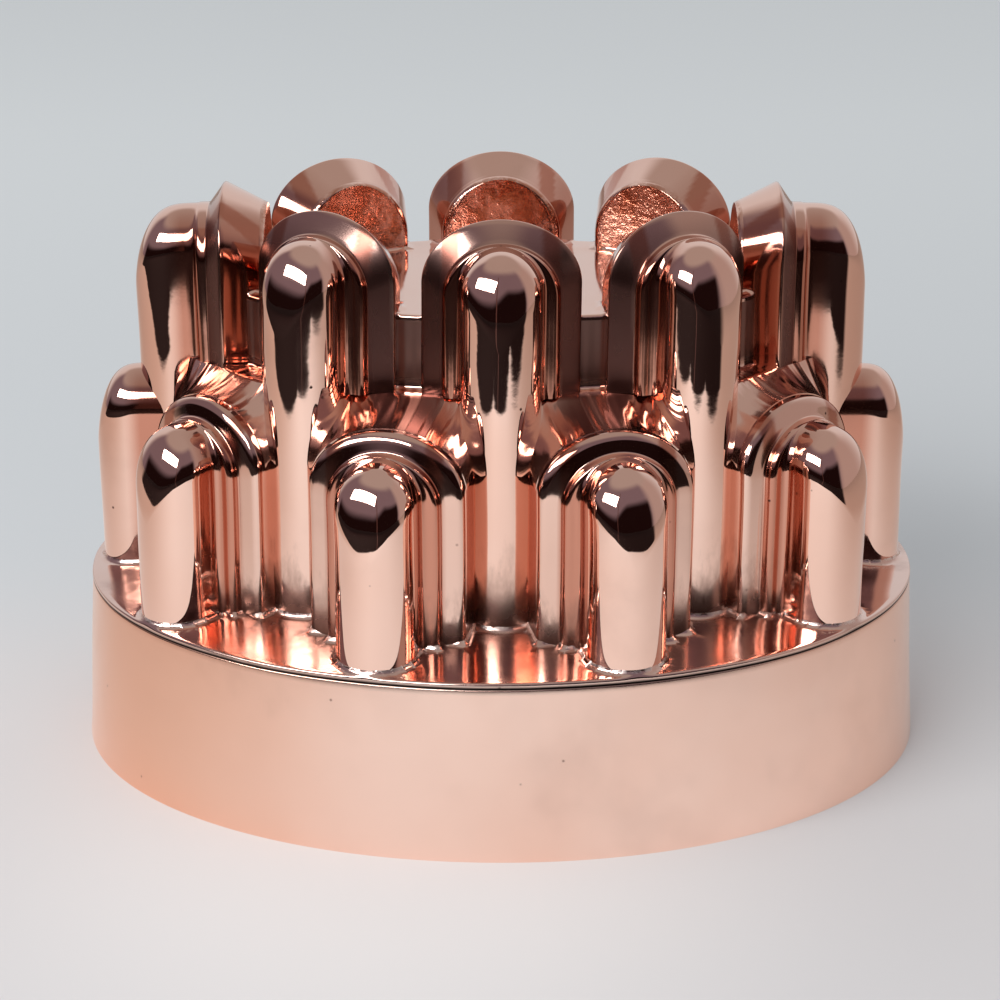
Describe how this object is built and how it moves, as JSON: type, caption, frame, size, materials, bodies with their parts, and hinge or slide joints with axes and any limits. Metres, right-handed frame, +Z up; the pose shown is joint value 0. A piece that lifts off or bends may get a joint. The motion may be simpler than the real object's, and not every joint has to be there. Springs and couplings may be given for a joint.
{
  "type": "jelly mould",
  "caption": "Oval copper jelly mould with two tiers of arched turrets on a flared skirt, open below; it stands on its mouth.",
  "frame": {"origin": "centre of the open mouth, on the surface that the mould stands on", "axes": "+X along the long axis to the right, -Y to the front, +Z up through the crown"},
  "size_m": [0.1679, 0.1324, 0.1114],
  "materials": {
    "skirt_copper": "satin worn copper",
    "shoulder_copper": "polished copper, worn",
    "lower_turret_copper": "mirror polished copper",
    "upper_turret_copper": "mirror polished copper",
    "saddle_copper": "polished copper",
    "crown_plate_copper": "polished copper"
  },
  "bodies": {
    "root": {"crown_plate": "crown_plate_copper", "lower_turret_back_left": "lower_turret_copper", "lower_turret_back_right": "lower_turret_copper", "lower_turret_front_left": "lower_turret_copper", "lower_turret_front_right": "lower_turret_copper", "lower_turret_left": "lower_turret_copper", "lower_turret_right": "lower_turret_copper", "lower_turret_side_back_left": "lower_turret_copper", "lower_turret_side_back_right": "lower_turret_copper", "lower_turret_side_front_left": "lower_turret_copper", "lower_turret_side_front_right": "lower_turret_copper", "saddle_back_left": "saddle_copper", "saddle_back_right": "saddle_copper", "saddle_front_left": "saddle_copper", "saddle_front_right": "saddle_copper", "saddle_side_back_left": "saddle_copper", "saddle_side_back_right": "saddle_copper", "saddle_side_front_left": "saddle_copper", "saddle_side_front_right": "saddle_copper", "shoulder_ring": "shoulder_copper", "skirt_band": "skirt_copper", "upper_turret_back": "upper_turret_copper", "upper_turret_back_left": "upper_turret_copper", "upper_turret_back_right": "upper_turret_copper", "upper_turret_front": "upper_turret_copper", "upper_turret_front_left": "upper_turret_copper", "upper_turret_front_right": "upper_turret_copper", "upper_turret_left": "upper_turret_copper", "upper_turret_right": "upper_turret_copper"}
  },
  "joints": []
}
